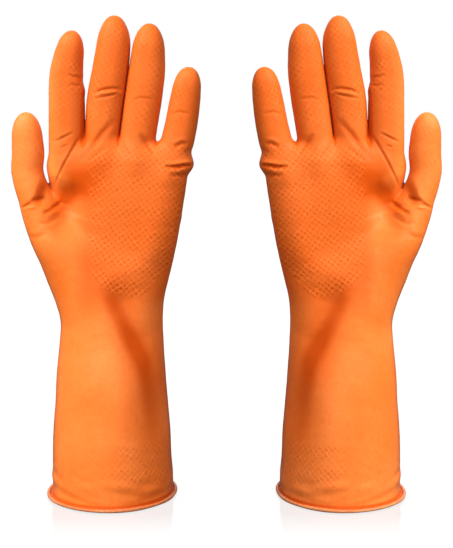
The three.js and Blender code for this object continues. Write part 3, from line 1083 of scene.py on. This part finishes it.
def floor_material():
    """A pale studio floor: near white to the camera, with a mirror image that fades round the rims."""
    n = Nodes(bpy.data.materials.new("studio_floor"))
    where = n.add("ShaderNodeTexCoord").outputs["Object"]
    shade = n.noise(where, 3.0)
    n.link(n.mix(shade, *FLOOR_GREYS), n.shader.inputs["Base Color"])
    n.fill(n.shader, Roughness=0.8, Specular_IOR_Level=0.0, Emission_Color=WHITE)
    seen = n.add("ShaderNodeLightPath").outputs["Is Camera Ray"]
    n.link(n.spread(seen, 0.0, 1.0, 0.0, FLOOR_GLOW), n.shader.inputs["Emission Strength"])
    mirror = n.add("ShaderNodeBsdfGlossy")
    n.fill(mirror, Roughness=0.0)
    split = n.add("ShaderNodeSeparateXYZ")
    n.link(where, split.inputs["Vector"])
    fades = []
    for axis, rim, most in (("X", CAD_BOX[1][0], MIRROR_SHARE), ("Y", CAD_BOX[1][1], 1.0)):
        away = n.math("ABSOLUTE", split.outputs[axis])
        fades.append(n.spread(away, rim, rim + MIRROR_FADE, most, 0.0))
    mixed = n.add("ShaderNodeMixShader")
    n.link(n.math("MULTIPLY", *fades), mixed.inputs["Fac"])
    n.link(n.shader.outputs["BSDF"], mixed.inputs[1])
    n.link(mirror.outputs["BSDF"], mixed.inputs[2])
    n.link(mixed.outputs["Shader"], n.tree.nodes["Material Output"].inputs["Surface"])
    return n.owner


# ---------- the studio

def area_light(name, place, target, size, watts):
    """A soft light at a place, aimed at a target."""
    data = bpy.data.lights.new(name, "AREA")
    data.shape = "RECTANGLE"
    data.size, data.size_y = size
    data.energy = watts
    light = bpy.data.objects.new(name, data)
    light.location = place
    light.rotation_euler = (Vector(target) - Vector(place)).to_track_quat("-Z", "Y").to_euler()
    bpy.context.collection.objects.link(light)
    return light


WORLD_LIGHT = 0.55
FLOOR_REACH = 3.0
FLOOR_GAP = 0.0001  # so that the floor doesn't share a plane with the rims
# Lights of each glove: name, place with x on the glove's own side of the row's middle, and watts
GLOVE_LIGHTS = (
    ("key", (0.64, -0.58, 0.92), 23.3),
    ("inner", (-0.55, -0.90, 0.50), 2.0),
    ("rim", (0.45, 0.90, 0.60), 1.0),
)
GLOVE_LIGHT_SIZE = (0.7, 0.9)
FILL_SIZE = (1.2, 0.8)
FRONT_FILL, BACK_FILL, FLOOR_WASH = 7.0, 9.0, 3.0


def white_world():
    """A backdrop that is white to the eye, and lights the gloves more softly than it looks."""
    n = Nodes(bpy.data.worlds.new("studio_world"))
    background = n.tree.nodes["Background"]
    n.fill(background, Color=WHITE)
    path = n.add("ShaderNodeLightPath").outputs
    seen = n.math("MAXIMUM", path["Is Camera Ray"], path["Is Singular Ray"])
    n.link(n.spread(seen, 0.0, 1.0, WORLD_LIGHT, 1.0), background.inputs["Strength"])
    bpy.context.scene.world = n.owner
    bpy.context.scene.view_settings.view_transform = "Standard"


def studio_floor():
    """A wide plain floor just under the gloves."""
    signs = ((-1, -1), (1, -1), (1, 1), (-1, 1))
    corners = [(x * FLOOR_REACH, y * FLOOR_REACH, -FLOOR_GAP) for x, y in signs]
    mesh = bpy.data.meshes.new("studio_floor")
    mesh.from_pydata(corners, [], [(0, 1, 2, 3)])
    mesh.materials.append(floor_material())
    floor = bpy.data.objects.new("studio_floor", mesh)
    bpy.context.collection.objects.link(floor)


def studio(gloves):
    """Each glove has its own soft key light from its outer side; the fills light both."""
    middle = (CAD_BOX[0][2] + CAD_BOX[1][2]) / 2
    studio_floor()
    white_world()
    for side, out in (("left", -1), ("right", 1)):
        glove = (out * CUFF_CENTRE[0] * -MM, 0, middle)
        for name, (x, y, z), watts in GLOVE_LIGHTS:
            light = area_light(f"{side}_{name}", (out * x, y, z), glove, GLOVE_LIGHT_SIZE, watts)
            light.light_linking.receiver_collection = gloves[side]
    area_light("front_fill", (0, -1.4, 0.9), (0, 0, middle), FILL_SIZE, FRONT_FILL)
    area_light("back_fill", (0, 1.3, 0.9), (0, 0, middle), FILL_SIZE, BACK_FILL)
    area_light("floor_wash", (0, -0.3, 1.9), (0, 0, 0), (2.0, 2.0), FLOOR_WASH)


def camera():
    """Level with the hands and looking straight ahead, with the frame shifted down."""
    distance, height, aim = 0.765, 0.25, 0.14
    seen_height = 0.353  # of the gloves' plane, in the picture
    data = bpy.data.cameras.new("camera")
    data.lens = data.sensor_width * distance / seen_height
    view = bpy.data.objects.new("camera", data)
    view.location = (0, -distance, height)
    view.rotation_euler = (math.pi / 2, 0, 0)
    bpy.context.collection.objects.link(view)
    bpy.context.scene.camera = view
    # The shift belongs to this place: a camera moved elsewhere looks straight at what it is aimed at.
    driver = data.driver_add("shift_y").driver
    for axis in ("y", "z"):
        variable = driver.variables.new()
        variable.name = axis
        variable.type = "TRANSFORMS"
        variable.targets[0].id = view
        variable.targets[0].transform_type = f"LOC_{axis.upper()}"
    shift = (aim - height) / seen_height
    driver.expression = f"{shift:.5f} if abs(y + {distance}) + abs(z - {height}) < 0.001 else 0"


def main():
    """Both gloves, from one meshing of the skin and of the lining."""
    skin = latex_material("latex_skin", *SKIN_COLOURS)
    edge = latex_material("latex_bead", *BEAD_COLOURS)
    flock = flock_material()
    outside, inside = outer_skin(), lining()
    bends = {name: stall_bends(name) for name in STALLS}
    feet = {name: bend_foot(name, bends[name][0], outside) for name in STALLS}
    whole = whole_skin(outside, inside, bends, feet)
    gloves = {}
    for side in ("left", "right"):
        glove = gloves[side] = bpy.data.collections.new(f"{side}_glove")
        bpy.context.scene.collection.children.link(glove)
        skin_pieces(side, whole, (skin, flock), glove)
        bead(side, edge, glove)
    studio(gloves)
    camera()


main()
